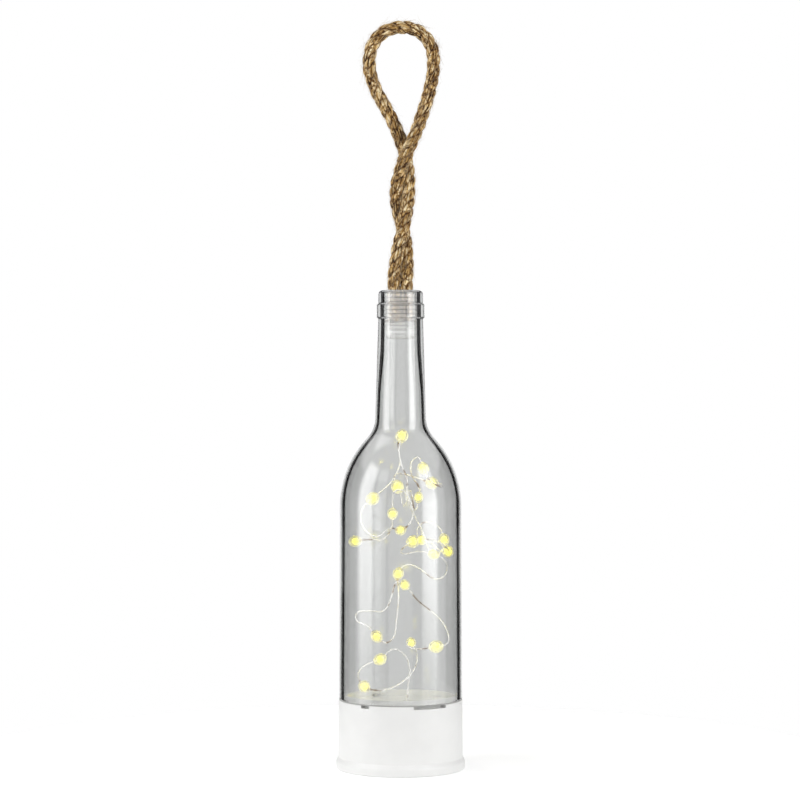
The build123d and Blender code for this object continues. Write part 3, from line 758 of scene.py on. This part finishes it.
def grain(tree, place, scale, detail=4.0, roughness=0.55):
    """Noise at a number of cells to the unit of its place."""
    inputs = {"Vector": place, "Scale": scale, "Detail": detail, "Roughness": roughness}
    return node(tree, "TexNoise", inputs).outputs["Fac"]


def multiply(tree, first, second):
    """Two colours multiplied."""
    made = node(tree, "Mix", {0: 1.0, 6: first, 7: second}, data_type="RGBA", blend_type="MULTIPLY")
    return made.outputs[2]


def relief(tree, shader, height, strength, distance):
    """Bumps on a shader."""
    inputs = {"Height": height, "Strength": strength, "Distance": distance}
    give(tree, shader, "Normal", node(tree, "Bump", inputs).outputs["Normal"])


def own_place(tree):
    """A place on the piece, in metres."""
    return node(tree, "TexCoord").outputs["Object"]


# Materials

def rope_material():
    """Natural fibre: streaks along the fibres, dull patches and dark flecks, with painted shade in the seams
    between yarns and in the grooves between strands.
    """
    made, tree, shader = new_material("rope_fibre")
    place = own_place(tree)
    fibre = node(tree, "Attribute", attribute_name="fibre").outputs["Vector"]
    depth = node(tree, "Attribute", attribute_name="depth").outputs["Fac"]
    crest = node(tree, "Attribute", attribute_name="crest").outputs["Fac"]
    streaks = grain(tree, fibre, STREAK_CELLS, detail=3.0, roughness=0.6)
    shades = [
        (0.36, (0.045, 0.018, 0.004)),
        (0.44, (0.32, 0.175, 0.042)),
        (0.51, (0.81, 0.53, 0.20)),
        (0.60, (1.0, 0.90, 0.64)),
    ]
    patch_shades = [(0.38, (0.46, 0.37, 0.25)), (0.56, (1.0, 0.99, 0.96))]
    # Painted shade: darker in the seams between yarns, where the crest is low
    painted_seam_shades = [(0.0, (0.30, 0.20, 0.11)), (0.5, WHITE)]
    fleck_shades = [(0.37, (0.21, 0.13, 0.06)), (0.50, WHITE)]
    # Painted shade: darkest deep in the grooves between strands, from the depth in the lay
    painted_groove_shades = [(0.58, (0.06, 0.034, 0.017)), (0.77, (0.36, 0.25, 0.15)), (0.91, WHITE)]
    patches = ramp(tree, grain(tree, place, PATCH_CELLS), patch_shades)
    seams = ramp(tree, crest, painted_seam_shades)
    flecks = ramp(tree, grain(tree, place, FLECK_CELLS, detail=2.0), fleck_shades)
    colour = multiply(tree, ramp(tree, streaks, shades), patches)
    colour = multiply(tree, colour, multiply(tree, seams, flecks))
    give(tree, shader, "Base Color", multiply(tree, colour, ramp(tree, depth, painted_groove_shades)))
    shader.inputs["Roughness"].default_value = 0.82
    shader.inputs["Sheen Weight"].default_value = 0.05
    shader.inputs["Specular IOR Level"].default_value = 0.25
    relief(tree, shader, streaks, strength=0.6, distance=STREAK_DEPTH)
    return made


def fuzz_material():
    """Loose fibres, evener in tone than the rope."""
    made, tree, shader = new_material("rope_fuzz")
    shades = [(0.35, (0.38, 0.26, 0.13)), (0.65, (0.72, 0.58, 0.38))]
    give(tree, shader, "Base Color", ramp(tree, grain(tree, own_place(tree), FUZZ_CELLS), shades))
    shader.inputs["Roughness"].default_value = 0.7
    return made


def wire_material():
    """Fine lacquered metal, its tone drifting along the wire."""
    made, tree, shader = new_material("light_wire_metal")
    place = own_place(tree)
    shades = [(0.40, (0.36, 0.27, 0.20)), (0.45, (1.0, 0.99, 0.97))]
    give(tree, shader, "Base Color", ramp(tree, grain(tree, place, WIRE_TONE_CELLS), shades))
    give(tree, shader, "Roughness", spread(tree, grain(tree, place, WIRE_GLOSS_CELLS), 0.14, 0.28))
    shader.inputs["Metallic"].default_value = 0.65
    return made


def resin_material():
    """Frosted resin that spreads the light of the lamp in it, with a pale yellow tint that paints the lamp's
    glow into the resin.
    """
    made, tree, shader = new_material("lamp_resin")
    cloud = grain(tree, own_place(tree), RESIN_CELLS)
    # Painted glow: the pale yellow tint stands in for the lamp's light in the resin
    shades = [(0.35, (1.0, 0.97, 0.62)), (0.65, (1.0, 0.98, 0.76))]
    give(tree, shader, "Base Color", ramp(tree, cloud, shades))
    give(tree, shader, "Roughness", spread(tree, cloud, 0.60, 0.75))
    shader.inputs["Transmission Weight"].default_value = 1.0
    shader.inputs["IOR"].default_value = 1.4
    return made


def heart_material():
    """The lit lamp in a drop, uneven as a coat of phosphor is."""
    made, tree, shader = new_material("lamp_chip")
    shades = [(0.3, (1.0, 0.86, 0.05)), (0.7, (1.0, 0.93, 0.12))]
    lit = ramp(tree, grain(tree, own_place(tree), PHOSPHOR_CELLS), shades)
    give(tree, shader, "Base Color", lit)
    give(tree, shader, "Emission Color", lit)
    shader.inputs["Emission Strength"].default_value = 4.5
    return made


def glass_material():
    """Clear glass with a grey tint, partly painted shade for the darker surroundings seen through it, and the
    slow ripple of a blown wall.
    """
    made, tree, shader = new_material("clear_glass")
    # Partly painted shade: the grey tint darkens all that is seen through the glass
    shader.inputs["Base Color"].default_value = (0.74, 0.745, 0.74, 1)
    shader.inputs["Transmission Weight"].default_value = 1.0
    shader.inputs["IOR"].default_value = 1.5
    shader.inputs["Roughness"].default_value = 0.0
    ripple = grain(tree, own_place(tree), RIPPLE_CELLS, detail=2.0)
    relief(tree, shader, ripple, strength=0.12, distance=RIPPLE_DEPTH)
    return made


def stopper_material():
    """Clear soft plastic, faintly clouded, with painted shade under each barb."""
    made, tree, shader = new_material("clear_plastic")
    place = own_place(tree)
    height = node(tree, "SeparateXYZ", {"Vector": place}).outputs["Z"]
    barb = work_out(tree, "SUBTRACT", height, BARB_FOOT)
    barb = work_out(tree, "DIVIDE", barb, BARB_PITCH)
    along = work_out(tree, "FRACT", barb)
    # Painted shade: a dark band under each barb, deeper towards the collar
    painted_barb_shade_mask = ramp(tree, along, [(0.60, BLACK), (0.80, WHITE), (0.98, BLACK)])
    painted_barb_shade_mask = work_out(tree, "MULTIPLY", painted_barb_shade_mask, spread(tree, height, *BARB_PAINTED_SHADES, *BARB_PAINTED_SHADE_HEIGHTS))
    shade = ramp(tree, painted_barb_shade_mask, [(0.0, WHITE), (1.0, BLACK)])
    cloud_shades = [(0.3, (0.90, 0.90, 0.89)), (0.7, (0.96, 0.96, 0.95))]
    cloud = ramp(tree, grain(tree, place, STOPPER_CLOUD_CELLS), cloud_shades)
    give(tree, shader, "Base Color", multiply(tree, cloud, shade))
    give(tree, shader, "Roughness", spread(tree, grain(tree, place, STOPPER_GLOSS_CELLS), 0.06, 0.12))
    shader.inputs["Transmission Weight"].default_value = 0.78
    shader.inputs["IOR"].default_value = 1.46
    return made


def plain_finish(name, light, dark, roughness, cells, strength, metallic):
    """A finish whose shade drifts between two colours, with a fine grain."""
    made, tree, shader = new_material(name)
    place = own_place(tree)
    fine = grain(tree, place, cells)
    dullest = roughness + FINISH_GLOSS_DRIFT
    glossiest = roughness - FINISH_GLOSS_DRIFT
    give(tree, shader, "Base Color", ramp(tree, grain(tree, place, DRIFT_CELLS), [(0.3, dark), (0.7, light)]))
    give(tree, shader, "Roughness", spread(tree, fine, glossiest, dullest))
    shader.inputs["Metallic"].default_value = metallic
    relief(tree, shader, fine, strength, FINISH_DEPTH)
    return made


def dress_nodes():
    """Gives each CAD node that stays in view its slot's material."""
    finishes = {slot: plain_finish(slot, *values) for slot, values in PLAIN_SLOTS.items()}
    finishes["clear_plastic"] = stopper_material()
    finishes["light_wire_metal"] = wire_material()
    for part in frame["record"]["subparts"]:
        shown = frame["nodes"][part["node"]]
        if not shown.hide_render:
            shown.data.materials.clear()
            shown.data.materials.append(finishes[part["material_slot"]])
    frame["nodes"]["stopper"].visible_shadow = False


# Studio

def mirrored_share(tree, ray):
    """0 for a ray that has only passed through clear pieces, and 1 for any other."""
    mirrored = spread(tree, ray["Glossy Depth"], 0.0, 1.0)
    outside = spread(tree, ray["Is Transmission Ray"], 1.0, 0.0)
    return work_out(tree, "MAXIMUM", mirrored, outside)


def make_world():
    """White for the camera and through glass, dim on surfaces, with dark cards that mirrored rays see."""
    world = bpy.data.worlds.new("studio")
    world.use_nodes = True
    bpy.context.scene.world = world
    tree = world.node_tree
    ray = node(tree, "LightPath").outputs
    way = node(tree, "SeparateXYZ", {"Vector": node(tree, "TexCoord").outputs["Generated"]}).outputs
    depth = work_out(tree, "ABSOLUTE", way["Y"])
    rise = work_out(tree, "ABSOLUTE", way["Z"])
    front = spread(tree, depth, 0.0, 1.0, *CARD_FRONT_EDGE)
    back = spread(tree, way["Y"], 0.0, 1.0, *CARD_BACK_EDGE)
    below_gap = spread(tree, way["Z"], 1.0, 0.0, *CARD_GAP_FOOT)
    above_gap = spread(tree, way["Z"], 0.0, 1.0, *CARD_GAP_TOP)
    shares = [
        spread(tree, depth, 1.0, 0.0, *CARD_END),
        spread(tree, rise, 1.0, 0.0, *CARD_RISE),
        spread(tree, work_out(tree, "MAXIMUM", below_gap, above_gap), CARD_GAP_SHARE, 1.0),
        spread(tree, way["Y"], CARD_FRONT_SHARE, 1.0, *CARD_FRONT_TO_BACK),
        mirrored_share(tree, ray),
    ]
    card = work_out(tree, "MAXIMUM", front, back)
    for share in shares:
        card = work_out(tree, "MULTIPLY", card, share)
    in_glass = spread(tree, card, 1.0, CARD_RADIANCE)
    glassy = work_out(tree, "MAXIMUM", ray["Is Glossy Ray"], ray["Is Transmission Ray"])
    level = node(tree, "Mix", {0: ray["Is Camera Ray"], 2: AMBIENT, 3: 1.0}).outputs[0]
    level = node(tree, "Mix", {0: glassy, 2: level, 3: in_glass}).outputs[0]
    give(tree, tree.nodes["Background"], "Color", (*WHITE, 1))
    give(tree, tree.nodes["Background"], "Strength", level)


def soften(data):
    """Lets a softbox fade towards its edges, and hides it where the glass is looked straight through."""
    data.use_nodes = True
    tree = data.node_tree
    across = node(tree, "SeparateXYZ", {"Vector": node(tree, "NewGeometry").outputs["Parametric"]}).outputs
    level = mirrored_share(tree, node(tree, "LightPath").outputs)
    for way in ("X", "Y"):
        for edge, inner in ((0.0, BOX_FADE), (1.0, 1.0 - BOX_FADE)):
            fade = spread(tree, across[way], 0.0, 1.0, edge, inner)
            level = work_out(tree, "MULTIPLY", level, fade)
    give(tree, tree.nodes["Emission"], "Strength", level)


def add_softbox(name, width, height, radiance, place, aim):
    """A softbox that shines along its aim and stays out of the camera's sight."""
    data = bpy.data.lights.new(name, "AREA")
    data.shape = "RECTANGLE"
    data.size = width
    data.size_y = height
    data.energy = radiance * pi * data.size * data.size_y
    soften(data)
    made = add_object(name, data)
    made.location = place
    made.rotation_euler = aim.to_track_quat("-Z", "Y").to_euler()
    made.visible_camera = False


def make_standing_softbox(name, start, end, radiance):
    """A tall softbox that faces the bottle, between two bearings."""
    middle = radians((start + end) / 2)
    width = 2 * BOX_DISTANCE * tan(radians((end - start) / 2))
    place = (BOX_DISTANCE * sin(middle), -BOX_DISTANCE * cos(middle), (BOX_LOW + BOX_HIGH) / 2)
    aim = Vector((-sin(middle), cos(middle), 0))
    add_softbox(name, width, BOX_HIGH - BOX_LOW, radiance, place, aim)


def make_overhead_softbox():
    """A square softbox above the left shoulder, for its highlight."""
    aim = Vector((0, 0, SHOULDER_HEIGHT)) - Vector(OVERHEAD_PLACE)
    add_softbox("overhead", OVERHEAD_SIZE, OVERHEAD_SIZE, OVERHEAD_RADIANCE, OVERHEAD_PLACE, aim)


def floor_material():
    """Pale paper, lifted to white where it is seen, so that only the shadow shows, and clear from below."""
    made, tree, shader = new_material("paper")
    ray = node(tree, "LightPath").outputs
    shades = [(0.3, (0.78, 0.78, 0.78)), (0.7, (0.81, 0.81, 0.81))]
    give(tree, shader, "Base Color", ramp(tree, grain(tree, own_place(tree), PAPER_CELLS), shades))
    shader.inputs["Roughness"].default_value = 0.9
    shader.inputs["Specular IOR Level"].default_value = 0.1
    shader.inputs["Emission Color"].default_value = (*WHITE, 1)
    seen = work_out(tree, "MAXIMUM", ray["Is Camera Ray"], ray["Is Glossy Ray"])
    seen = work_out(tree, "MAXIMUM", seen, ray["Is Transmission Ray"])
    bounce = spread(tree, ray["Is Diffuse Ray"], 0.0, FLOOR_BOUNCE)
    give(tree, shader, "Emission Strength", work_out(tree, "MULTIPLY_ADD", seen, FLOOR_LIFT, bounce))
    made.cycles.emission_sampling = "NONE"
    under = node(tree, "NewGeometry").outputs["Backfacing"]
    under = work_out(tree, "MULTIPLY", under, ray["Is Camera Ray"])
    clear = node(tree, "BsdfTransparent").outputs["BSDF"]
    sheet = node(tree, "MixShader", {0: under, 1: shader.outputs["BSDF"], 2: clear}).outputs["Shader"]
    tree.links.new(sheet, tree.nodes["Material Output"].inputs["Surface"])
    return made


def make_floor():
    """A round sheet of paper under the bottle."""
    points = []
    for side in range(FLOOR_SIDES):
        angle = 2 * pi * side / FLOOR_SIDES
        points.append((FLOOR_RADIUS * cos(angle), FLOOR_RADIUS * sin(angle), 0))
    floor = add_mesh("floor", points, [tuple(range(FLOOR_SIDES))])
    floor.data.materials.append(floor_material())


make_camera()
make_rope()
make_light_wire()
make_glass()
dress_nodes()
make_world()
for softbox in SOFTBOXES:
    make_standing_softbox(*softbox)
make_overhead_softbox()
make_floor()
bpy.context.scene.view_settings.view_transform = "Standard"
